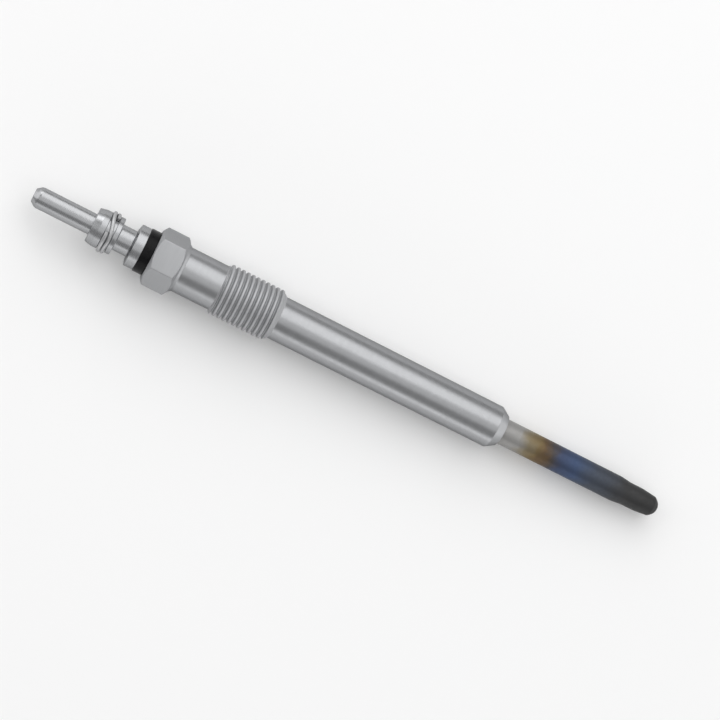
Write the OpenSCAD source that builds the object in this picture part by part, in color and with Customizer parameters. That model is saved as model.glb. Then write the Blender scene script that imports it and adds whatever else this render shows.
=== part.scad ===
// Sheathed-element diesel glow plug, lying on one flat of its hexagon.
// The plug's axis is X: the terminal points to -X and the glow tube to +X.
// The origin is on the axis, where the plain body meets the sealing cone.
// All lengths are in millimetres and all angles in degrees.

/* [Terminal] */
// Diameter of the contact pin
pin_d = 4; // [3.5:0.1:4.8]
// Length of the contact pin in front of its bead
pin_l = 11.5; // [8:0.1:16]
// Diameter of the flat at the pin's end
pin_end_d = 2.5; // [1.4:0.1:2.8]
// Angle of the pin's end cone to the axis
pin_cone_angle = 38; // [30:1:45]
// Radius that blends the end cone into the pin
pin_blend_r = 1.2; // [0.2:0.1:1.6]
// Diameter of the bead that holds the snap ring
bead_d = 7.1; // [6.7:0.1:8.6]
// Diameter at the small end of the bead's cone
bead_nose_d = 6.5; // [5.8:0.1:6.6]
// Length of the bead's cone
bead_cone_l = 1.3; // [0.8:0.1:2]
// Length of the plain band between the cone and the groove
front_band_l = 1.1; // [0.6:0.1:2]
// Length of the plain band behind the groove
rear_band_l = 0.9; // [0.6:0.1:2]
// Diameter of the neck between the bead and the flange
neck_d = 5; // [4.4:0.1:6]
// Length of the neck
neck_l = 2.8; // [1.6:0.1:5]
// Diameter of the flange that presses on the insulating ring
flange_d = 8.1; // [6.8:0.1:9.8]
// Length of the flange with its cone
flange_l = 2.1; // [1.2:0.1:3]
// Length of the flange's cone
flange_cone_l = 0.3; // [0.2:0.05:0.8]
// Diameter at the small end of the flange's cone
flange_nose_d = 6; // [5.6:0.1:6.4]
// Depth of the blind hole that takes the stud
terminal_hole_l = 7; // [4:0.1:9]

/* [Snap ring] */
// Diameter of the spring wire
ring_wire_d = 0.7; // [0.4:0.05:0.75]
// Room beside the two turns of wire in the groove
groove_room = 0.2; // [0.2:0.05:0.5]
// Depth of the groove in the bead
groove_depth = 0.35; // [0.2:0.05:0.5]
// Gap between the wire and what it lies against
ring_gap = 0.03; // [0.02:0.01:0.05]
// Radial drop from the ring's first turn to its second
ring_drop = 0.15; // [0:0.01:0.25]

/* [Insulating ring and body seal] */
// Outside diameter of the insulating ring
insulator_d = 8.4; // [7.2:0.1:9.4]
// Thickness of the insulating ring between the flange and the hexagon
insulator_l = 1.9; // [1:0.1:4]
// Diameter of the ring's spigot in the housing
spigot_d = 6.6; // [5.4:0.1:7]
// Length of the ring's spigot
spigot_l = 1.4; // [0.8:0.1:2.4]
// Length of the squeezed body seal
body_seal_l = 1.4; // [1:0.1:1.8]
// Roundness of the squeezed body seal: 0 is square and 1 is fully round
body_seal_roundness = 0.8; // [0.2:0.05:0.95]

/* [Housing] */
// Width of the hexagon across its flats
hex_af = 10; // [9.6:0.1:14]
// Length of the hexagon
hex_l = 5.5; // [4.8:0.1:10]
// Distance from the flats to the circle that the chamfer leaves on the hexagon's ends
hex_face_inset = 0.3; // [0.1:0.05:0.4]
// Angle of the hexagon's chamfer to its end face
hex_chamfer_angle = 34; // [20:1:40]
// Diameter of the shank between the hexagon and the thread
shank_d = 8.7; // [7.6:0.1:9.1]
// Length of the shank
shank_l = 7.9; // [3:0.1:20]
// Radius of the fillet between the hexagon and the shank
shank_fillet_r = 0.3; // [0.1:0.05:0.5]
// Outside diameter of the thread
thread_d = 10; // [9.8:0.1:12]
// Pitch of the thread
thread_pitch = 1; // [0.75:0.05:1.25]
// Length of the thread with its chamfers
thread_l = 11.8; // [6:0.1:25]
// Angle of the thread's end chamfers to the axis
thread_chamfer_angle = 45; // [30:1:60]
// Diameter of the plain body
body_d = 8.2; // [6.8:0.1:9]
// Length of the plain body
body_l = 45.2; // [25:0.1:90]
// Full angle of the sealing cone
seat_angle = 63; // [50:1:120]
// Diameter at the small end of the sealing cone
seat_end_d = 6.1; // [5.8:0.1:6.6]
// Diameter of the bore that the stud passes through
bore_d = 4.6; // [3.8:0.1:4.7]

/* [Glow tube] */
// Outside diameter of the glow tube
tube_d = 5; // [4.8:0.05:5.6]
// Length of the glow tube in front of the plain body
tube_reach = 35.5; // [29:0.1:60]
// Length of the glow tube held in the housing
tube_grip_l = 16; // [10:0.1:24]
// Wall of the glow tube
tube_wall = 0.6; // [0.4:0.05:0.7]
// Diameter of the reduced end of the tube
step_d = 4.5; // [4.2:0.05:4.7]
// Length of the taper down to the reduced end
swage_l = 2.1; // [1.2:0.1:4]
// Length of the straight stretch of the reduced end
step_l = 2.7; // [1.4:0.1:5]
// Diameter where the nose meets its end cone
nose_d = 3.8; // [3.6:0.05:4.1]
// Length of the nose's taper
nose_l = 2.8; // [2.4:0.1:5]
// Radius that blends the nose into its end cone
nose_blend_r = 0.6; // [0.2:0.1:1]
// Angle of the end cone to the axis
end_cone_angle = 52; // [40:1:60]
// Radius of the dome on the end cone
dome_r = 0.8; // [0.4:0.05:1.2]
// Radius that blends the tube's tapers
swage_blend_r = 6; // [1:1:8]
// Thickness of the closed end of the tube
tip_wall = 1.4; // [1.2:0.1:2]

/* [Stud and heating element] */
// Diameter of the stud in the terminal and in the housing
stud_d = 3.4; // [2.8:0.1:3.6]
// Diameter of the stud inside the glow tube
stud_tube_d = 2.4; // [2:0.1:2.6]
// Diameter of the spigot that carries the control coil
stud_end_d = 1.6; // [1.3:0.1:1.8]
// Length of that spigot
stud_end_l = 3; // [2.6:0.1:5]
// Length of the spigot inside the control coil
stud_lap_l = 2; // [1:0.1:2.2]
// Length of the seal in the mouth of the glow tube
tube_seal_l = 3; // [2:0.1:5]
// Diameter of the coils' wire
coil_wire_d = 0.4; // [0.25:0.05:0.5]
// Number of turns of the control coil
control_turns = 10; // [6:1:12]
// Distance between the control coil's turns
control_pitch = 1.7; // [1:0.05:2]
// Number of turns of the heating coil
heating_turns = 12; // [6:1:14]
// Distance between the heating coil's turns
heating_pitch = 1.1; // [0.7:0.05:1.3]
// Length over which the heating coil closes in to the axis
closing_l = 1; // [0.6:0.1:1.5]
// Length of the straight lead to the tube's closed end
lead_l = 2; // [1:0.1:4]

/* [Clearances] */
// Radial room round the stud in the insulating ring
insulator_room = 0.1; // [0.05:0.05:0.3]
// Radial room round the insulating ring's spigot
spigot_room = 0.05; // [0.02:0.01:0.1]
// Gap between the stud's end and the bottom of its hole
stud_end_gap = 0.4; // [0.1:0.1:1]
// Radial room between the coil and the stud's spigot
coil_room = 0.08; // [0.07:0.01:0.12]

/* [Edges] */
// Radius on the turned edges
edge_r = 0.12; // [0.05:0.01:0.15]
// Radius in the turned corners
corner_r = 0.2; // [0.1:0.05:0.25]

/* [Hidden] */

$fn = 72;
// Largest turn between two points of an outline's arc
arc_step = 12;
// Largest share of its wall that a fillet takes
fillet_share = 0.9;
// Length by which a cutting shape passes the face that it opens
past = 1;

// Places along the axis, from the sealing cone back to the pin's end
seat_l = (body_d - seat_end_d) / 2 / tan(seat_angle / 2);
thread_end_x = -body_l;
thread_x = thread_end_x - thread_l;
hex_end_x = thread_x - shank_l;
hex_x = hex_end_x - hex_l;
insulator_x = hex_x - insulator_l;
flange_x = insulator_x - flange_l;
bead_end_x = flange_x - neck_l;
groove_l = 2 * ring_wire_d + groove_room;
groove_end_x = bead_end_x - rear_band_l;
groove_x = groove_end_x - groove_l;
bead_x = groove_x - front_band_l - bead_cone_l;
pin_x = bead_x - pin_l;
pin_cone_l = (pin_d - pin_end_d) / 2 / tan(pin_cone_angle);

// Housing's thread, as a plain cylinder with the same volume, and its chamfers and counterbore
pitch_d = thread_d - 3 * sqrt(3) / 8 * thread_pitch;
hex_corner_r = hex_af / 2 / cos(30);
hex_face_r = hex_af / 2 - hex_face_inset;
counterbore_d = spigot_d + 2 * spigot_room;
counterbore_floor_x = hex_x + spigot_l + body_seal_l;

// Places along the glow tube
tube_x = -tube_grip_l;
dome_x = tube_reach - dome_r;
dome_angle = 90 - end_cone_angle;
cone_end_r = dome_r * sin(dome_angle);
cone_end_x = dome_x + dome_r * cos(dome_angle);
nose_end_x = cone_end_x - (nose_d / 2 - cone_end_r) / tan(end_cone_angle);
nose_x = nose_end_x - nose_l;
swage_end_x = nose_x - step_l;
swage_x = swage_end_x - swage_l;
tube_floor_x = tube_reach - tip_wall;
fill_x = tube_x + tube_seal_l;

// Places and radius of the heating element, from the tube's closed end back to the stud
closing_x = tube_floor_x - lead_l - closing_l;
heating_x = closing_x - heating_turns * heating_pitch;
control_x = heating_x - control_turns * control_pitch;
stud_end_x = control_x + stud_lap_l;
stud_x = insulator_x - terminal_hole_l + stud_end_gap;
coil_r = stud_end_d / 2 + coil_room + coil_wire_d / 2;

// Snap ring: two turns of wire round the groove, with a jog where the first turn passes into the second
ring_first_x = groove_x + ring_gap + ring_wire_d / 2;
ring_beside = ring_wire_d + ring_gap;
ring_across = groove_l - ring_wire_d - 2 * ring_gap;
ring_last_r = bead_d / 2 - groove_depth + ring_gap + ring_wire_d / 2;
// Share of the groove's room by which both turns lean over on one side
ring_lean_share = 0.65;
ring_lean = ring_lean_share * (ring_across - ring_beside);
// Angle round the axis and shift along it, where the ring's course changes
ring_course = [
    [96, 0], [155, 0], [215, ring_lean], [250, ring_lean], [320, 0], [395, 0],
    [475, ring_across], [480, ring_across], [505, ring_beside], [515, ring_beside],
    [575, ring_beside + ring_lean], [610, ring_beside + ring_lean], [680, ring_beside], [715, ring_beside],
    [755, ring_across], [774, ring_across]
];
ring_sides = 12;
ring_step = 10;

// Sides and stations in each turn of the coils' wire
coil_sides = 6;
coil_stations = 10;

function unit(v) = v / norm(v);
function eased(t) = t * t * (3 - 2 * t);

// Arc of radius r in place of the corner b on the way from a to c
function corner(a, b, c, r) =
    r == 0 ? [b] :
    let (
        u = unit(a - b),
        v = unit(c - b),
        half = acos(u * v) / 2,
        centre = b + unit(u + v) * r / sin(half),
        from = b + u * r / tan(half) - centre,
        to = b + v * r / tan(half) - centre,
        start = atan2(from.y, from.x),
        turn = atan2(from.x * to.y - from.y * to.x, from * to),
        steps = ceil(abs(turn) / arc_step)
    )
    [for (i = [0:steps]) let (a = start + turn * i / steps) centre + r * [cos(a), sin(a)]];

// Closed outline through corners that are given as [distance from the axis, place along it, rounding]
function flat(p) = [p.x, p.y];
function outline(p) = [
    for (i = [0:len(p) - 1])
        let (before = p[(i + len(p) - 1) % len(p)], after = p[(i + 1) % len(p)])
        each corner(flat(before), flat(p[i]), flat(after), p[i].z)
];

// Solid turned round the plug's axis from the corners of its outline
module turned(p) {
    rotate([0, 90, 0])
        rotate_extrude()
            polygon(outline(p));
}

// Station of a wire's course, given as [place along the axis, distance from it, angle round it]
function place(s) = [s.x, s.y * cos(s.z), s.y * sin(s.z)];
function heading(course, i) =
    unit(place(course[min(i + 1, len(course) - 1)]) - place(course[max(i - 1, 0)]));
function section(s, along, d, sides) =
    let (
        outward = [0, cos(s.z), sin(s.z)],
        a = unit(outward - (outward * along) * along),
        b = cross(along, a)
    )
    [for (k = [0:sides - 1]) place(s) + d / 2 * (cos(360 * k / sides) * a + sin(360 * k / sides) * b)];

// Round wire swept along the stations from first to last of a course
module wire(course, first, last, d, sides) {
    count = last - first;
    points = [for (i = [first:last]) each section(course[i], heading(course, i), d, sides)];
    walls = [
        for (i = [0:count - 1], k = [0:sides - 1])
            let (a = i * sides + k, b = i * sides + (k + 1) % sides)
            each [[a, a + sides, b], [b, a + sides, b + sides]]
    ];
    start_face = [for (k = [0:sides - 1]) k];
    end_face = [for (k = [sides - 1:-1:0]) count * sides + k];
    polyhedron(points, concat([start_face], walls, [end_face]));
}

// Turned contact: pin, grooved bead, neck and flange, with a blind hole for the stud
module terminal() {
    color("#b8bbbf")
        turned([
            [0, pin_x, 0],
            [pin_end_d / 2, pin_x, corner_r],
            [pin_d / 2, pin_x + pin_cone_l, pin_blend_r],
            [pin_d / 2, bead_x, corner_r],
            [bead_nose_d / 2, bead_x, edge_r],
            [bead_d / 2, bead_x + bead_cone_l, corner_r],
            [bead_d / 2, groove_x, edge_r],
            [bead_d / 2 - groove_depth, groove_x, 0],
            [bead_d / 2 - groove_depth, groove_end_x, 0],
            [bead_d / 2, groove_end_x, edge_r],
            [bead_d / 2, bead_end_x, edge_r],
            [neck_d / 2, bead_end_x, corner_r],
            [neck_d / 2, flange_x, corner_r],
            [flange_nose_d / 2, flange_x, edge_r],
            [flange_d / 2, flange_x + flange_cone_l, edge_r],
            [flange_d / 2, insulator_x, edge_r],
            [stud_d / 2, insulator_x, 0],
            [stud_d / 2, insulator_x - terminal_hole_l, 0],
            [0, insulator_x - terminal_hole_l, 0]
        ]);
}

// Shift of the snap ring's wire along the axis at an angle of its course
function ring_shift(angle) = [
    for (i = [1:len(ring_course) - 1])
        let (a = ring_course[i - 1], b = ring_course[i])
        if (angle >= a.x && angle <= b.x) a.y + (b.y - a.y) * eased((angle - a.x) / (b.x - a.x))
][0];

// Double-turn spring wire ring that snaps into the plug connector
module snap_ring() {
    from = ring_course[0].x;
    to = ring_course[len(ring_course) - 1].x;
    steps = ceil((to - from) / ring_step);
    course = [
        for (i = [0:steps])
            let (share = i / steps, angle = from + (to - from) * share)
            [ring_first_x + ring_shift(angle), ring_last_r + ring_drop * (1 - share), angle]
    ];
    color("#a3a6aa")
        wire(course, 0, steps, ring_wire_d, ring_sides);
}

// Moulded ring that keeps the terminal clear of the housing, with a spigot in the counterbore
module insulating_ring() {
    color("#1d1d1f")
        turned([
            [stud_d / 2 + insulator_room, insulator_x, 0],
            [insulator_d / 2, insulator_x, edge_r],
            [insulator_d / 2, hex_x, edge_r],
            [spigot_d / 2, hex_x, 0],
            [spigot_d / 2, hex_x + spigot_l, edge_r],
            [stud_d / 2 + insulator_room, hex_x + spigot_l, 0]
        ]);
}

// Rubber ring squeezed between the stud, the counterbore and the insulating ring's spigot
module body_seal() {
    seal_wall = (counterbore_d - stud_d) / 2;
    bulge_r = body_seal_roundness * min(seal_wall, body_seal_l) / 2;
    color("#4a3a30")
        turned([
            [stud_d / 2, hex_x + spigot_l, bulge_r],
            [counterbore_d / 2, hex_x + spigot_l, bulge_r],
            [counterbore_d / 2, counterbore_floor_x, bulge_r],
            [stud_d / 2, counterbore_floor_x, bulge_r]
        ]);
}

// Turned outside of the housing: chamfered collar, shank, thread at its pitch diameter,
// plain body and sealing cone
module blank() {
    collar_r = hex_corner_r + past;
    chamfer_l = (collar_r - hex_face_r) * tan(hex_chamfer_angle);
    rise = tan(thread_chamfer_angle);
    turned([
        [0, hex_x, 0],
        [hex_face_r, hex_x, 0],
        [collar_r, hex_x + chamfer_l, 0],
        [collar_r, hex_end_x - chamfer_l, 0],
        [hex_face_r, hex_end_x, 0],
        [shank_d / 2, hex_end_x, min(shank_fillet_r, fillet_share * (hex_face_r - shank_d / 2))],
        [shank_d / 2, thread_x, 0],
        [pitch_d / 2, thread_x + (pitch_d - shank_d) / 2 / rise, 0],
        [pitch_d / 2, thread_end_x - (pitch_d - body_d) / 2 / rise, 0],
        [body_d / 2, thread_end_x, corner_r],
        [body_d / 2, 0, corner_r],
        [seat_end_d / 2, seat_l, edge_r],
        [0, seat_l, 0]
    ]);
}

// Metal that is milled off round the collar to leave the hexagon
module millings() {
    rotate([0, 90, 0])
        rotate([0, 0, 30])
            difference() {
                translate([0, 0, hex_x - past])
                    cylinder(r = hex_corner_r + 2 * past, h = hex_l + 2 * past);
                translate([0, 0, hex_x - 2 * past])
                    cylinder(r = hex_corner_r, h = hex_l + 4 * past, $fn = 6);
            }
}

// Steel housing, bored from both ends
module housing() {
    color("#a8abae")
        difference() {
            blank();
            millings();
            turned([
                [0, hex_x - past, 0],
                [counterbore_d / 2, hex_x - past, 0],
                [counterbore_d / 2, counterbore_floor_x, 0],
                [bore_d / 2, counterbore_floor_x, 0],
                [bore_d / 2, tube_x, 0],
                [tube_d / 2, tube_x, 0],
                [tube_d / 2, seat_l + past, 0],
                [0, seat_l + past, 0]
            ]);
        }
}

// Rod that carries the current from the terminal to the control coil
module terminal_stud() {
    color("#96989b")
        turned([
            [0, stud_x, 0],
            [stud_d / 2, stud_x, corner_r],
            [stud_d / 2, tube_x, corner_r],
            [stud_tube_d / 2, tube_x, 0],
            [stud_tube_d / 2, stud_end_x - stud_end_l, edge_r],
            [stud_end_d / 2, stud_end_x - stud_end_l, 0],
            [stud_end_d / 2, stud_end_x, edge_r],
            [0, stud_end_x, 0]
        ]);
}

// Hollow of the glow tube from a place along the axis to the closed end
function tube_hollow(from_x) = [
    [0, from_x, 0],
    [tube_d / 2 - tube_wall, from_x, 0],
    [tube_d / 2 - tube_wall, swage_x, 0],
    [step_d / 2 - tube_wall, swage_end_x, 0],
    [step_d / 2 - tube_wall, nose_x, 0],
    [nose_d / 2 - tube_wall, tube_floor_x, 0],
    [0, tube_floor_x, 0]
];

// Closed heat-resisting tube with a swaged end, a tapered nose and a domed end cone
module glow_tube() {
    dome_steps = ceil(dome_angle / arc_step);
    color("#5b5e66")
        difference() {
            turned([
                [0, tube_x, 0],
                [tube_d / 2, tube_x, edge_r],
                [tube_d / 2, swage_x, swage_blend_r],
                [step_d / 2, swage_end_x, swage_blend_r],
                [step_d / 2, nose_x, swage_blend_r],
                [nose_d / 2, nose_end_x, nose_blend_r],
                for (i = [0:dome_steps])
                    let (a = dome_angle * (1 - i / dome_steps))
                    [dome_r * sin(a), dome_x + dome_r * cos(a), 0]
            ]);
            turned(tube_hollow(tube_x - past));
        }
}

// Rubber bush that closes the mouth of the glow tube round the stud
module tube_seal() {
    color("#3b3b3d")
        turned([
            [stud_tube_d / 2, tube_x, 0],
            [tube_d / 2 - tube_wall, tube_x, 0],
            [tube_d / 2 - tube_wall, fill_x, 0],
            [stud_tube_d / 2, fill_x, 0]
        ]);
}

// Course of the heating element: control coil, heating coil, closing half turn and lead
function helix(from_x, turns, pitch) = [
    for (i = [0:turns * coil_stations - 1])
        let (turn = i / coil_stations) [from_x + turn * pitch, coil_r, 360 * turn]
];
closing_steps = coil_stations / 2;
element_course = concat(
    helix(control_x, control_turns, control_pitch),
    helix(heating_x, heating_turns, heating_pitch),
    [
        for (i = [0:closing_steps])
            let (share = i / closing_steps)
            [closing_x + share * closing_l, coil_r * (1 - eased(share)), 180 * share]
    ],
    [[tube_floor_x, 0, 180]]
);
heating_first = control_turns * coil_stations;
element_last = len(element_course) - 1;

// Regulating coil, joined to the stud's spigot
module control_coil() {
    color("#8d8377")
        wire(element_course, 0, heating_first, coil_wire_d, coil_sides);
}

// Heating coil, joined to the control coil and to the tube's closed end
module heating_coil() {
    color("#73706d")
        wire(element_course, heating_first, element_last, coil_wire_d, coil_sides);
}

// Pressed magnesia powder that fills the tube round the stud and the coils
module magnesia_fill() {
    color("#e6e2d8")
        difference() {
            turned(tube_hollow(fill_x));
            terminal_stud();
            wire(element_course, 0, element_last, coil_wire_d, coil_sides);
        }
}

terminal();
snap_ring();
insulating_ring();
body_seal();
housing();
terminal_stud();
glow_tube();
tube_seal();
control_coil();
heating_coil();
magnesia_fill();
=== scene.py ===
import math

import bmesh
import bpy
import numpy as np
from mathutils import Matrix, Vector


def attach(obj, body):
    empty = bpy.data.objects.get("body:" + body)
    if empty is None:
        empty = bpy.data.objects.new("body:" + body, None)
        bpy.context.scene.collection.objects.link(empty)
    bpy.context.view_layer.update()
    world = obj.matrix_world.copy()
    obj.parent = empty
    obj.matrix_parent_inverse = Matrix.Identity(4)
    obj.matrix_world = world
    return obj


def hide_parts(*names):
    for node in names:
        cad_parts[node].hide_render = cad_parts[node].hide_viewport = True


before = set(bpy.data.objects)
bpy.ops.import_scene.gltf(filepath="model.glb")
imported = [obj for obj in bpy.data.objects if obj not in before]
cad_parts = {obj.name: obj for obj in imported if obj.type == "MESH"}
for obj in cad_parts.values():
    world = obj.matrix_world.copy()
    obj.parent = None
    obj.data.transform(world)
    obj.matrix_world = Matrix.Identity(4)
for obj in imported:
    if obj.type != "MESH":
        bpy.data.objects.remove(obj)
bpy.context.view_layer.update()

# Lengths are in millimetres until a mesh is finished.
MM = 0.001
PER_MM = 1 / MM

# Places along the plug's axis, as in the CAD part
PIN_X, BEAD_X, GROOVE_X, GROOVE_END_X, BEAD_END_X = -93.6, -82.1, -79.7, -78.1, -77.2
FLANGE_X, INSULATOR_X, HEX_X, HEX_END_X = -74.4, -72.3, -70.4, -64.9
THREAD_X, THREAD_END_X, SEAT_END_X = -57.0, -45.2, 1.713
TUBE_X, TUBE_END_X = -16.0, 35.5

# Roundings of turned edges, and of the softer bends between two turned faces
EDGE, BEND = 0.12, 0.2

# Hexagon: half its width across flats, the rounding of its corners, and the angle from one to the next
HEX_R, HEX_ROUNDING, HEX_STEP = 5.0, 0.3, 60
HEX_HALF = HEX_STEP / 2
HALF_TAN = math.tan(math.radians(HEX_HALF))

# Half the angle that a rounded corner of the hexagon takes up, and the places round it in shares of that
CORNER_TURN = HEX_HALF - math.degrees(math.atan((1 - HEX_ROUNDING / HEX_R) * HALF_TAN))
CORNER_SHARES = (0.25, 0.5, 0.75, 1, 1.15, 1.5)
CORNER_CLEAR = 1.6 * CORNER_TURN
EVEN_STEP = 2.5


def angles_round_axis():
    """Even angles away from the hexagon's corners, and closer ones at each corner."""
    even = [EVEN_STEP * n for n in range(round(360 / EVEN_STEP))]
    away = [a for a in even if abs((a + HEX_HALF) % HEX_STEP - HEX_HALF) > CORNER_CLEAR]
    near = [0, *[side * share * CORNER_TURN for side in (-1, 1) for share in CORNER_SHARES]]
    return sorted(away + [(HEX_STEP * n + a) % 360 for n in range(6) for a in near])


ANGLES = angles_round_axis()
TURN = len(ANGLES)


def rounded(corners, step=7.0):
    """Outline through corners [radius, x, rounding], each rounded by an arc."""
    points = []
    count = len(corners)
    for i, (r, x, rounding) in enumerate(corners):
        b = np.array([r, x])
        if rounding == 0:
            points.append(b)
            continue
        u = np.array(corners[i - 1][:2]) - b
        v = np.array(corners[(i + 1) % count][:2]) - b
        u, v = u / np.linalg.norm(u), v / np.linalg.norm(v)
        half = math.acos(np.clip(u @ v, -1, 1)) / 2
        way = (u + v) / np.linalg.norm(u + v)
        centre = b + way * rounding / math.sin(half)
        a0, a1 = b + u * rounding / math.tan(half) - centre, b + v * rounding / math.tan(half) - centre
        start = math.atan2(a0[1], a0[0])
        turn = math.atan2(a0[0] * a1[1] - a0[1] * a1[0], a0 @ a1)
        steps = max(2, math.ceil(abs(math.degrees(turn)) / step))
        for k in range(steps + 1):
            a = start + turn * k / steps
            points.append(centre + rounding * np.array([math.cos(a), math.sin(a)]))
    return points


def supported(points, closed, near=0.03):
    """The outline with extra points close to the ends of its longer straights, for flat shading there."""
    made = []
    count = len(points)
    for i in range(count if closed else count - 1):
        a, b = points[i], points[(i + 1) % count]
        made.append(a)
        length = np.linalg.norm(b - a)
        if length > 5 * near:
            made += [a + (b - a) * near / length, b - (b - a) * near / length]
    if not closed:
        made.append(points[-1])
    return made


def circle(j):
    """Cosine and sine of one of the angles round the axis."""
    a = math.radians(ANGLES[j])
    return math.cos(a), math.sin(a)


def finished(name, bm, sharp=26.0):
    """The mesh as an object, in metres, shaded smooth up to the sharp angle."""
    bmesh.ops.recalc_face_normals(bm, faces=bm.faces)
    mesh = bpy.data.meshes.new(name)
    bm.to_mesh(mesh)
    bm.free()
    mesh.transform(Matrix.Scale(MM, 4))
    mesh.shade_smooth()
    mesh.set_sharp_from_angle(angle=math.radians(sharp))
    piece = bpy.data.objects.new(name, mesh)
    bpy.context.scene.collection.objects.link(piece)
    return piece


def ring_of(bm, r, x):
    """Vertices of one turned circle, or one vertex on the axis."""
    if r < 1e-6:
        return [bm.verts.new((x, 0, 0))]
    return [bm.verts.new((x, r * circle(j)[0], r * circle(j)[1])) for j in range(TURN)]


def circles(bm, corners, closed=False):
    """Turned circles of the outline through the corners."""
    return [ring_of(bm, r, x) for r, x in supported(rounded(corners), closed)]


def bridge(bm, a, b):
    """Faces between two neighbouring circles, of which one may be a vertex on the axis."""
    for j in range(TURN):
        k = (j + 1) % TURN
        if len(a) == 1:
            bm.faces.new((a[0], b[j], b[k]))
        elif len(b) == 1:
            bm.faces.new((a[j], b[0], a[k]))
        else:
            bm.faces.new((a[j], b[j], b[k], a[k]))


def skin(bm, rings):
    """Faces between each circle and the next."""
    for a, b in zip(rings, rings[1:]):
        bridge(bm, a, b)


def lathe(name, corners, closed=False):
    """Solid turned from an outline that ends on the axis, or a closed ring of it."""
    bm = bmesh.new()
    rings = circles(bm, corners, closed)
    skin(bm, rings + rings[:1] if closed else rings)
    return finished(name, bm)


# Terminal: pin, grooved bead, neck and flange, with the stud's blind hole
PIN_END_R, PIN_R, PIN_CONE_L, PIN_BLEND, PIN_FOOT = 1.25, 2.0, 0.96, 1.2, 0.08
BEAD_NOSE_R, BEAD_R, BEAD_CONE_L, GROOVE_R = 3.25, 3.55, 1.3, 3.2
NECK_R, FLANGE_NOSE_R, FLANGE_R, FLANGE_CONE_L = 2.5, 3.0, 4.05, 0.3
STUD_R, STUD_HOLE_L = 1.7, 7.0
terminal = lathe("terminal_look", [
    [0, PIN_X, 0], [PIN_END_R, PIN_X, BEND],
    [PIN_R, PIN_X + PIN_CONE_L, PIN_BLEND], [PIN_R, BEAD_X, PIN_FOOT],
    [BEAD_NOSE_R, BEAD_X, EDGE], [BEAD_R, BEAD_X + BEAD_CONE_L, BEND], [BEAD_R, GROOVE_X, EDGE],
    [GROOVE_R, GROOVE_X, 0], [GROOVE_R, GROOVE_END_X, 0], [BEAD_R, GROOVE_END_X, EDGE],
    [BEAD_R, BEAD_END_X, EDGE], [NECK_R, BEAD_END_X, BEND], [NECK_R, FLANGE_X, BEND],
    [FLANGE_NOSE_R, FLANGE_X, EDGE], [FLANGE_R, FLANGE_X + FLANGE_CONE_L, EDGE],
    [FLANGE_R, INSULATOR_X, EDGE], [STUD_R, INSULATOR_X, 0],
    [STUD_R, INSULATOR_X - STUD_HOLE_L, 0], [0, INSULATOR_X - STUD_HOLE_L, 0],
])

# Black insulating ring with its spigot in the housing
INSULATOR_R, INSULATOR_BORE_R, SPIGOT_R, SPIGOT_L = 4.2, 1.8, 3.3, 1.4
insulator = lathe("insulator_look", [
    [INSULATOR_BORE_R, INSULATOR_X, 0], [INSULATOR_R, INSULATOR_X, EDGE], [INSULATOR_R, HEX_X, EDGE],
    [SPIGOT_R, HEX_X, 0], [SPIGOT_R, HEX_X + SPIGOT_L, EDGE], [INSULATOR_BORE_R, HEX_X + SPIGOT_L, 0],
], closed=True)

# Glow tube with its swaged end, tapered nose and domed end, hollow like the CAD solid
TUBE_R, STEP_R, NOSE_END_R, DOME_R, END_CONE = 2.5, 2.25, 1.95, 2.0, math.radians(36)
TUBE_BORE_R, STEP_BORE_R, NOSE_BORE_R, TIP_WALL = 1.9, 1.65, 1.3, 1.4
SWAGE_L, STEP_L, NOSE_L, SWAGE_BLEND, NOSE_BLEND = 2.1, 2.7, 2.8, 6.0, 0.6
dome = [[DOME_R * math.sin(a), TUBE_END_X - DOME_R + DOME_R * math.cos(a), 0]
        for a in np.linspace(math.pi / 2 - END_CONE, 0, 8)]
nose_end_x = dome[0][1] - (NOSE_END_R - dome[0][0]) / math.tan(END_CONE)
nose_x = nose_end_x - NOSE_L
step_x = nose_x - STEP_L
swage_x = step_x - SWAGE_L
bore_end_x = TUBE_END_X - TIP_WALL
tube = lathe("glow_tube_look", [
    [0, bore_end_x, 0], [NOSE_BORE_R, bore_end_x, 0], [STEP_BORE_R, nose_x, 0], [STEP_BORE_R, step_x, 0],
    [TUBE_BORE_R, swage_x, 0], [TUBE_BORE_R, TUBE_X, 0], [TUBE_R, TUBE_X, EDGE],
    [TUBE_R, swage_x, SWAGE_BLEND], [STEP_R, step_x, SWAGE_BLEND], [STEP_R, nose_x, SWAGE_BLEND],
    [NOSE_END_R, nose_end_x, NOSE_BLEND], *dome,
])

# Housing: hexagon, shank, thread, plain body and sealing cone in one mesh
# Circle that the chamfer leaves on the hexagon's ends, the chamfer's rise, and the cone behind the hexagon
HEX_FACE_R, CHAMFER_RISE = 4.7, math.tan(math.radians(34))
HEX_CONE_L, HEX_CONE_BLEND = 0.5, 0.25
SHANK_R, BODY_R, SEAT_END_R = 4.35, 4.1, 3.05
# Bore that the stud passes through, and the wider one that takes the insulating ring's spigot
BORE_R, FRONT_BORE_R, FRONT_BORE_L = 2.3, 3.35, 2.8
# Thread: its radii, the place of a crest at angle zero, and the rise of the cones at its start and end
CREST_R, ROOT_R, CREST_X = 4.98, 4.42, -57.25
START_RISE, END_RISE = 2.2, 0.9
SHOULDER_R, FOOT_R, FLANK_R = CREST_R - 0.06, ROOT_R + 0.03, (CREST_R + ROOT_R) / 2
# One pitch of the thread, which is 1 mm, from crest to crest: place along the axis and radius
PROFILE = [
    (-0.2, SHOULDER_R), (-0.12, CREST_R), (0.12, CREST_R), (0.2, SHOULDER_R), (0.3, FLANK_R),
    (0.4, FOOT_R), (0.45, ROOT_R), (0.55, ROOT_R), (0.6, FOOT_R), (0.7, FLANK_R),
]


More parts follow.
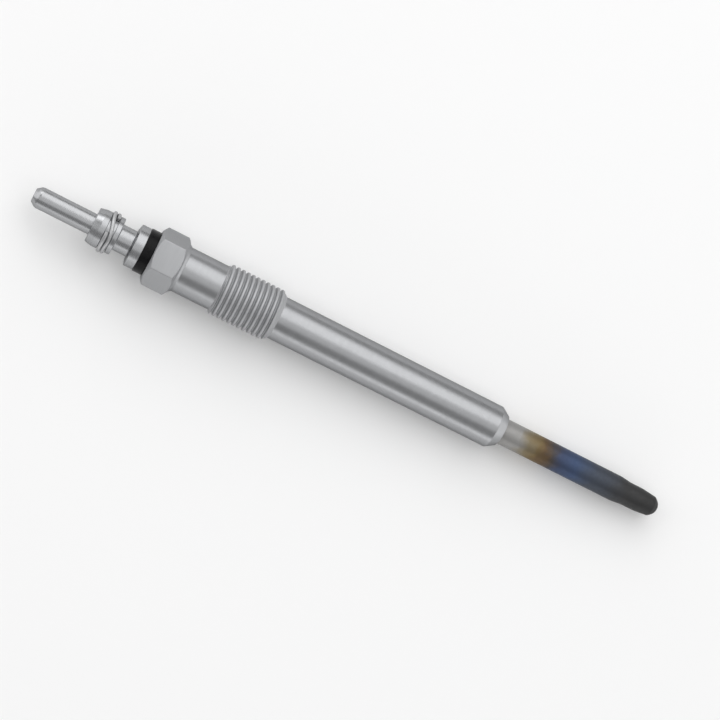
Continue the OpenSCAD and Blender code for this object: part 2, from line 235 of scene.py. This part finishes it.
def hex_rings(bm, x, way, edge=0.08):
    """Circles over the soft edge between the hexagon's chamfer and its flats.

    way is 1 where the flats lie towards +X from the end at x, and -1 where they lie towards -X.
    """
    centre = (HEX_R - HEX_ROUNDING) / math.cos(math.radians(HEX_HALF))
    rings = []
    for t in (0, 1 / 3, 2 / 3, 1):
        made = []
        for j, angle in enumerate(ANGLES):
            off = math.radians((angle + HEX_HALF) % HEX_STEP - HEX_HALF)
            if abs(off) < math.radians(CORNER_TURN):
                r = centre * math.cos(off) + math.sqrt(HEX_ROUNDING ** 2 - (centre * math.sin(off)) ** 2)
            else:
                r = HEX_R / math.cos(math.radians(HEX_HALF) - abs(off))
            r -= edge * (1 - t) ** 2
            place = x + way * ((r - HEX_FACE_R) * CHAMFER_RISE + edge * t ** 2)
            c, s = circle(j)
            made.append(bm.verts.new((place, r * c, r * s)))
        rings.append(made)
    return rings


def thread(bm, first, last):
    """Helical ridges between the shank's last circle and the body's first one."""
    grid = []
    start = math.floor(THREAD_X - CREST_X) - 2
    end = math.ceil(THREAD_END_X - CREST_X) + 2
    for n in range(start, end):
        for phase, radius in PROFILE:
            line = []
            for j in range(TURN):
                x = CREST_X + n + phase + ANGLES[j] / 360
                if x <= THREAD_X:
                    line.append(first[j])
                elif x >= THREAD_END_X:
                    line.append(last[j])
                else:
                    start_r = SHANK_R + (x - THREAD_X) * START_RISE
                    end_r = BODY_R + (THREAD_END_X - x) * END_RISE
                    r = min(radius, start_r, end_r)
                    c, s = circle(j)
                    line.append(bm.verts.new((x, r * c, r * s)))
            grid.append(line)
    for i in range(len(grid) - 1):
        for j in range(TURN):
            # Past the last angle a line goes on as the same line of the next pitch.
            k, up = (j + 1, 0) if j + 1 < TURN else (0, len(PROFILE))
            if i + 1 + up >= len(grid):
                continue
            quad = [grid[i][j], grid[i + 1][j], grid[i + 1 + up][k], grid[i + up][k]]
            corners = [v for n, v in enumerate(quad) if v not in quad[:n]]
            if len(corners) > 2 and not bm.faces.get(corners):
                bm.faces.new(corners)


def whole_housing(name):
    """The head from the front bore to the shank's end, the barrel with its bores, and the thread between."""
    bm = bmesh.new()
    flats = hex_rings(bm, HEX_X, 1) + hex_rings(bm, HEX_END_X, -1)[::-1]
    front = circles(bm, [[FRONT_BORE_R, HEX_X, 0], [HEX_FACE_R, HEX_X, 0]])
    shank = circles(bm, [
        [HEX_FACE_R, HEX_END_X, 0], [SHANK_R, HEX_END_X + HEX_CONE_L, HEX_CONE_BLEND],
        [SHANK_R, THREAD_X, 0],
    ])
    head = front + flats + shank
    barrel = circles(bm, [
        [BODY_R, THREAD_END_X, 0], [BODY_R, 0, BEND], [SEAT_END_R, SEAT_END_X, EDGE],
        [TUBE_R, SEAT_END_X, 0], [TUBE_R, TUBE_X, 0], [BORE_R, TUBE_X, 0],
        [BORE_R, HEX_X + FRONT_BORE_L, 0], [FRONT_BORE_R, HEX_X + FRONT_BORE_L, 0],
    ])
    skin(bm, head)
    skin(bm, barrel + head[:1])
    thread(bm, head[-1], barrel[0])
    return finished(name, bm)


housing = whole_housing("housing_look")

# Snap ring: nearly two turns of round spring wire in the bead's groove, with chamfered ends
WIRE_R, WIRE_GAP, WIRE_DROP, WIRE_END_SHARE, WIRE_END_L = 0.35, 0.03, 0.15, 0.7, 0.08
FIRST_X, LAST_R = GROOVE_X + WIRE_GAP + WIRE_R, GROOVE_R + WIRE_GAP + WIRE_R
# Shifts of the wire along the axis: beside its first turn, across the groove, and where both turns lean over
BESIDE = 2 * WIRE_R + WIRE_GAP
ACROSS = GROOVE_END_X - GROOVE_X - 2 * (WIRE_R + WIRE_GAP)
LEAN_SHARE = 0.65
LEAN_OVER = LEAN_SHARE * (ACROSS - BESIDE)
# Angle and shift where the wire's course changes, as in the CAD ring but 9 degrees shorter at the last end
COURSE = [
    (96, 0), (155, 0), (215, LEAN_OVER), (250, LEAN_OVER), (320, 0), (395, 0),
    (475, ACROSS), (480, ACROSS), (505, BESIDE), (515, BESIDE),
    (575, BESIDE + LEAN_OVER), (610, BESIDE + LEAN_OVER), (680, BESIDE), (715, BESIDE),
    (750, ACROSS), (765, ACROSS),
]


def ring_point(angle):
    """Point of the wire's centre line at an angle of its course."""
    first, last = COURSE[0][0], COURSE[-1][0]
    for (a, p), (b, q) in zip(COURSE, COURSE[1:]):
        if angle <= b:
            t = (angle - a) / (b - a)
            shift = p + (q - p) * t * t * (3 - 2 * t)
            break
    r = LAST_R + WIRE_DROP * (last - angle) / (last - first)
    turn = math.radians(angle)
    return Vector((FIRST_X + shift, r * math.cos(turn), r * math.sin(turn)))


def snap_wire(name, sides=16, steps=180):
    """Wire swept along the ring's course."""
    angles = np.linspace(COURSE[0][0], COURSE[-1][0], steps + 1)
    points = [ring_point(a) for a in angles]
    # Each station has the number of its point, its share of the wire's radius and its shift along the wire.
    stations = [
        (0, WIRE_END_SHARE, 0.0), (0, 1.0, WIRE_END_L),
        *[(i, 1.0, 0.0) for i in range(1, steps)],
        (steps, 1.0, -WIRE_END_L), (steps, WIRE_END_SHARE, 0.0),
    ]
    turns = [2 * math.pi * k / sides for k in range(sides)]
    bm = bmesh.new()
    rings = []
    for i, share, shift in stations:
        along = (points[min(i + 1, steps)] - points[max(i - 1, 0)]).normalized()
        outward = Vector((0, points[i].y, points[i].z))
        a = (outward - along * outward.dot(along)).normalized()
        b = along.cross(a)
        centre = points[i] + along * shift
        spokes = [math.cos(w) * a + math.sin(w) * b for w in turns]
        rings.append([bm.verts.new(centre + WIRE_R * share * spoke) for spoke in spokes])
    for p, q in zip(rings, rings[1:]):
        for k in range(sides):
            m = (k + 1) % sides
            bm.faces.new((p[k], q[k], q[m], p[m]))
    bm.faces.new(rings[0])
    bm.faces.new(rings[-1])
    return finished(name, bm, sharp=40)


snap_ring = snap_wire("snap_ring_look")

# Sockets of a colour mix node: its share, its two colours, and its result
MIX_SHARE, MIX_A, MIX_B, MIX_RESULT = 0, 6, 7, 2


def material(name, base, metallic, roughness):
    """Material with its node tree and its shader."""
    m = bpy.data.materials.new(name)
    m.use_nodes = True
    shader = m.node_tree.nodes["Principled BSDF"]
    shader.inputs["Base Color"].default_value = (*base, 1)
    shader.inputs["Metallic"].default_value = metallic
    shader.inputs["Roughness"].default_value = roughness
    return m, m.node_tree, shader


def noise(tree, scale, axes=(1, 1, 1), detail=3.0):
    """Noise over the row frame; scale is features per millimetre, and axes multiplies it along each axis."""
    place = tree.nodes.new("ShaderNodeTexCoord")
    mapping = tree.nodes.new("ShaderNodeMapping")
    mapping.inputs["Scale"].default_value = [PER_MM * scale * s for s in axes]
    made = tree.nodes.new("ShaderNodeTexNoise")
    made.inputs["Scale"].default_value = 1
    made.inputs["Detail"].default_value = detail
    tree.links.new(place.outputs["Object"], mapping.inputs["Vector"])
    tree.links.new(mapping.outputs["Vector"], made.inputs["Vector"])
    return made.outputs["Fac"]


def remap(tree, value, low, high, from_low=0.3, from_high=0.7):
    """The value taken from one range to another; the first range fits most of a noise unless it is given."""
    made = tree.nodes.new("ShaderNodeMapRange")
    made.inputs["From Min"].default_value = from_low
    made.inputs["From Max"].default_value = from_high
    made.inputs["To Min"].default_value = low
    made.inputs["To Max"].default_value = high
    tree.links.new(value, made.inputs["Value"])
    return made.outputs["Result"]


def tint(tree, share, a, b):
    """Colour between a and b."""
    made = tree.nodes.new("ShaderNodeMix")
    made.data_type = "RGBA"
    made.inputs[MIX_A].default_value = (*a, 1)
    made.inputs[MIX_B].default_value = (*b, 1)
    tree.links.new(share, made.inputs[MIX_SHARE])
    return made.outputs[MIX_RESULT]


def bump(tree, shader, height, strength, distance):
    """Fine relief on the shader, with its distance in millimetres."""
    made = tree.nodes.new("ShaderNodeBump")
    made.inputs["Strength"].default_value = strength
    made.inputs["Distance"].default_value = distance * MM
    tree.links.new(height, made.inputs["Height"])
    tree.links.new(made.outputs["Normal"], shader.inputs["Normal"])


def along_axis(tree):
    """Place along the plug's axis, in metres."""
    place = tree.nodes.new("ShaderNodeTexCoord")
    split = tree.nodes.new("ShaderNodeSeparateXYZ")
    tree.links.new(place.outputs["Object"], split.inputs["Vector"])
    return split.outputs["X"]


def between(tree, first, last, soft=0.1):
    """One between two places along the axis in millimetres, and zero outside."""
    x = along_axis(tree)
    start = remap(tree, x, 0, 1, (first - soft) * MM, first * MM)
    end = remap(tree, x, 1, 0, last * MM, (last + soft) * MM)
    made = tree.nodes.new("ShaderNodeMath")
    made.operation = "MULTIPLY"
    tree.links.new(start, made.inputs[0])
    tree.links.new(end, made.inputs[1])
    return made.outputs[0]


def steel(name, dark, light, roughness, edge=0.75, zones=()):
    """Satin plated steel with fine turning lines round the axis.

    edge dims its grazing reflections. A zone has its first and last place along the axis, the roughness
    that it adds, and a lighter colour painted over the steel there, which is painted light.
    """
    m, tree, shader = material(name, light, 1.0, roughness)
    shader.inputs["Specular Tint"].default_value = (edge, edge, edge, 1)
    colour = tint(tree, remap(tree, noise(tree, 0.9), 0, 1), dark, light)
    lines = noise(tree, 1.0, axes=(6, 0.25, 0.25), detail=2.0)
    rough = remap(tree, lines, roughness - 0.04, roughness + 0.04)
    # Each zone mixes its lighter colour over the steel: painted light over that stretch of the axis.
    for first, last, more, painted_light_colour in zones:
        within = between(tree, first, last)
        zoned = tint(tree, within, light, painted_light_colour)
        tree.links.new(colour, zoned.node.inputs[MIX_A])
        colour = zoned
        made = tree.nodes.new("ShaderNodeMath")
        made.operation = "MULTIPLY_ADD"
        made.inputs[1].default_value = more
        tree.links.new(within, made.inputs[0])
        tree.links.new(rough, made.inputs[2])
        rough = made.outputs[0]
    tree.links.new(colour, shader.inputs["Base Color"])
    tree.links.new(rough, shader.inputs["Roughness"])
    bump(tree, shader, lines, strength=0.05, distance=0.02)
    return m


def plain(name, a, b, metallic, roughness, scale=2.0, specular=0.5):
    """Mottled material with a fine grain."""
    m, tree, shader = material(name, a, metallic, roughness)
    shader.inputs["Specular IOR Level"].default_value = specular
    grain = noise(tree, scale)
    tree.links.new(tint(tree, remap(tree, grain, 0, 1), a, b), shader.inputs["Base Color"])
    tree.links.new(remap(tree, grain, roughness - 0.05, roughness + 0.05), shader.inputs["Roughness"])
    bump(tree, shader, grain, strength=0.15, distance=0.01)
    return m


# Length that the ramp of temper colours covers, and how far they wander along the axis
TEMPER_L, TEMPER_WANDER = 36.0, 0.9
# Temper colours of the glow tube: place along the axis and colour
TEMPER = [
    (1.2, (0.325, 0.32, 0.315)), (5.2, (0.325, 0.32, 0.31)), (7.2, (0.235, 0.2, 0.135)),
    (9.3, (0.192, 0.143, 0.075)), (10.8, (0.14, 0.096, 0.058)), (12.0, (0.088, 0.078, 0.076)),
    (13.8, (0.066, 0.083, 0.14)), (16.4, (0.066, 0.094, 0.168)), (18.5, (0.072, 0.093, 0.142)),
    (21.2, (0.076, 0.087, 0.11)), (25.2, (0.071, 0.076, 0.087)), (28.2, (0.062, 0.062, 0.063)),
    (35.2, (0.054, 0.054, 0.054)),
]


def heat_tinted(name):
    """Tube alloy with temper colours that follow the heat along the axis."""
    m, tree, shader = material(name, (0.1, 0.1, 0.1), 1.0, 0.55)
    wander = remap(tree, noise(tree, 0.32, detail=2.0), -TEMPER_WANDER * MM, TEMPER_WANDER * MM)
    add = tree.nodes.new("ShaderNodeMath")
    tree.links.new(along_axis(tree), add.inputs[0])
    tree.links.new(wander, add.inputs[1])
    ramp = tree.nodes.new("ShaderNodeValToRGB")
    elements = ramp.color_ramp.elements
    elements.remove(elements[1])
    for i, (x, colour) in enumerate(TEMPER):
        at = x / TEMPER_L
        element = elements[0] if i == 0 else elements.new(at)
        element.position = at
        element.color = (*colour, 1)
    tree.links.new(remap(tree, add.outputs[0], 0, 1, 0, TEMPER_L * MM), ramp.inputs["Fac"])
    tree.links.new(ramp.outputs["Color"], shader.inputs["Base Color"])
    grain = noise(tree, 1.6)
    tree.links.new(remap(tree, grain, 0.5, 0.6), shader.inputs["Roughness"])
    bump(tree, shader, grain, strength=0.12, distance=0.02)
    return m


# Hexagon zone: rougher, and painted a little lighter than the housing's steel, a painted lightening of its
# faces.
HEX_ZONE_PAINTED_LIGHTER = (HEX_X, HEX_END_X, 0.15, (0.385, 0.39, 0.4))
# Thread zone: rougher, and painted much lighter than the housing's steel, a painted lightening of its
# crests, flanks and grooves.
THREAD_ZONE_PAINTED_LIGHTER = (THREAD_X, THREAD_END_X, 0.3, (0.475, 0.48, 0.49))
LOOKS = {
    "terminal": (terminal, steel("terminal_steel", (0.365, 0.37, 0.38), (0.385, 0.39, 0.4), 0.27, edge=0.6)),
    "snap_ring": (snap_ring, steel("spring_wire", (0.44, 0.443, 0.45), (0.48, 0.483, 0.49), 0.42)),
    "insulating_ring": (insulator, plain("insulator", (0.004, 0.004, 0.0045), (0.007, 0.007, 0.0075),
                                         0.0, 0.3, specular=0.12)),
    "housing": (housing, steel("housing_steel", (0.345, 0.35, 0.359), (0.365, 0.37, 0.38), 0.32, edge=0.5,
                               zones=[HEX_ZONE_PAINTED_LIGHTER, THREAD_ZONE_PAINTED_LIGHTER])),
    "glow_tube": (tube, heat_tinted("tube_alloy")),
}
for node, (piece, look) in LOOKS.items():
    piece.data.materials.append(look)
    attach(piece, "root")
    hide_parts(node)

INSIDE = {
    "terminal_stud": steel("stud_steel", (0.3, 0.3, 0.31), (0.36, 0.36, 0.37), 0.32),
    "body_seal": plain("seal_rubber", (0.05, 0.035, 0.028), (0.07, 0.05, 0.04), 0.0, 0.7),
    "tube_seal": plain("bush_rubber", (0.035, 0.033, 0.032), (0.05, 0.047, 0.045), 0.0, 0.7),
    "control_coil": plain("control_wire", (0.36, 0.34, 0.31), (0.42, 0.4, 0.37), 1.0, 0.35, scale=4.0),
    "heating_coil": plain("heating_wire", (0.28, 0.26, 0.25), (0.34, 0.32, 0.31), 1.0, 0.4, scale=4.0),
    "magnesia_fill": plain("magnesia", (0.76, 0.74, 0.68), (0.84, 0.82, 0.77), 0.0, 0.9, scale=5.0),
}
for node, look in INSIDE.items():
    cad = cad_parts[node]
    cad.data.materials.clear()
    cad.data.materials.append(look)

# Floor: the plane that the plug rests on, under the thread's end and the body's end
# Half the floor's side in metres, and the length from the thread's last full crest below to the body's end
FLOOR_HALF, REST_L = 3.0, 46.5
FLOOR_WHITE = (0.92, 0.92, 0.92)
slope = math.atan2(CREST_R - BODY_R, REST_L)
below = -BODY_R / math.cos(slope) * MM
corners = [(FLOOR_HALF * a, FLOOR_HALF * b, 0) for a, b in ((-1, -1), (1, -1), (1, 1), (-1, 1))]
mesh = bpy.data.meshes.new("floor")
mesh.from_pydata(corners, [], [(0, 1, 2, 3)])
floor = bpy.data.objects.new("floor", mesh)
floor.matrix_world = Matrix.Translation((0, 0, below)) @ Matrix.Rotation(-slope, 4, "Y")
bpy.context.scene.collection.objects.link(floor)
white, _, shader = material("floor", FLOOR_WHITE, 0.0, 0.9)
shader.inputs["Specular IOR Level"].default_value = 0.0
floor.data.materials.append(white)

# Camera: nearly straight above, leaned to the terminal and to the image's lower side
AIM, DISTANCE = Vector((-27.9625, 0, 0)) * MM, 350.54 * MM
LEAN, SIDE, ROLL = math.radians(10), math.radians(6.5), math.radians(26.781)
# Width of the picture, focal length, and the camera's shift across the plug's axis, in pixels
PICTURE, FOCAL, SHIFT = 720, 1918.5, -0.644
SENSOR = 36
back = Vector((-math.sin(LEAN), -math.cos(LEAN) * math.sin(SIDE), math.cos(LEAN) * math.cos(SIDE)))
along = (Vector((1, 0, 0)) - back * back.x).normalized()
across = back.cross(along)
right = math.cos(ROLL) * along + math.sin(ROLL) * across
up = math.cos(ROLL) * across - math.sin(ROLL) * along
lens = bpy.data.cameras.new("camera")
lens.sensor_width, lens.lens = SENSOR, FOCAL / PICTURE * SENSOR
lens.clip_start, lens.clip_end = 0.01, 20
camera = bpy.data.objects.new("camera", lens)
shift = across * (SHIFT / FOCAL * DISTANCE)
turn = Matrix((right, up, back)).transposed().to_4x4()
camera.matrix_world = Matrix.Translation(AIM + shift + back * DISTANCE) @ turn
bpy.context.scene.collection.objects.link(camera)
bpy.context.scene.camera = camera

# Light: soft boxes round the plug, with their places and sizes in metres
# A lamp whose way has a larger share than this along the axis lies across it.
NEAR_AXIS = 0.7


def softbox(name, towards, distance, length, width, radiance, spin=0.0, x=0.0):
    """Lamp at a distance in the way towards, moved by x along the axis and turned by spin in its plane."""
    lamp = bpy.data.lights.new(name, "AREA")
    lamp.shape = "RECTANGLE"
    lamp.size, lamp.size_y = length, width
    lamp.energy = radiance * math.pi * width * length
    box = bpy.data.objects.new(name, lamp)
    way = Vector(towards).normalized()
    along = Vector((0, 1, 0)) if abs(way.x) > NEAR_AXIS else Vector((1, 0, 0))
    along = (along - way * along.dot(way)).normalized()
    face = Matrix((along, way.cross(along), way)).transposed().to_4x4()
    face = face @ Matrix.Rotation(math.radians(spin), 4, "Z")
    box.matrix_world = Matrix.Translation(way * distance + Vector((x, 0, 0))) @ face
    box.visible_camera = False
    bpy.context.scene.collection.objects.link(box)


def round_axis(angle):
    """Way from the axis at an angle from above towards +Y."""
    return 0, math.sin(math.radians(angle)), math.cos(math.radians(angle))


softbox("key", round_axis(41.5), distance=1.2, length=1.65, width=0.86, radiance=1.5, spin=-45, x=-0.03)
softbox("window", (-0.85, 0.34, 0.46), distance=1.35, length=2.2, width=1.28, radiance=1.15)
softbox("overhead", round_axis(-6), distance=1.2, length=1.65, width=0.93, radiance=0.62, x=0.15)
softbox("side", round_axis(-80), distance=1.2, length=1.65, width=0.48, radiance=0.82, x=0.15)
softbox("side_tip", round_axis(-84), distance=1.2, length=1.2, width=0.45, radiance=0.6, x=0.68)
softbox("tip", (1, 0.12, 0.27), distance=1.2, length=2.55, width=0.6, radiance=1.2)

world = bpy.data.worlds.new("world")
world.use_nodes = True
world.node_tree.nodes["Background"].inputs["Color"].default_value = (1, 1, 1, 1)
world.node_tree.nodes["Background"].inputs["Strength"].default_value = 0.38
bpy.context.scene.world = world
bpy.context.scene.view_settings.view_transform = "Standard"
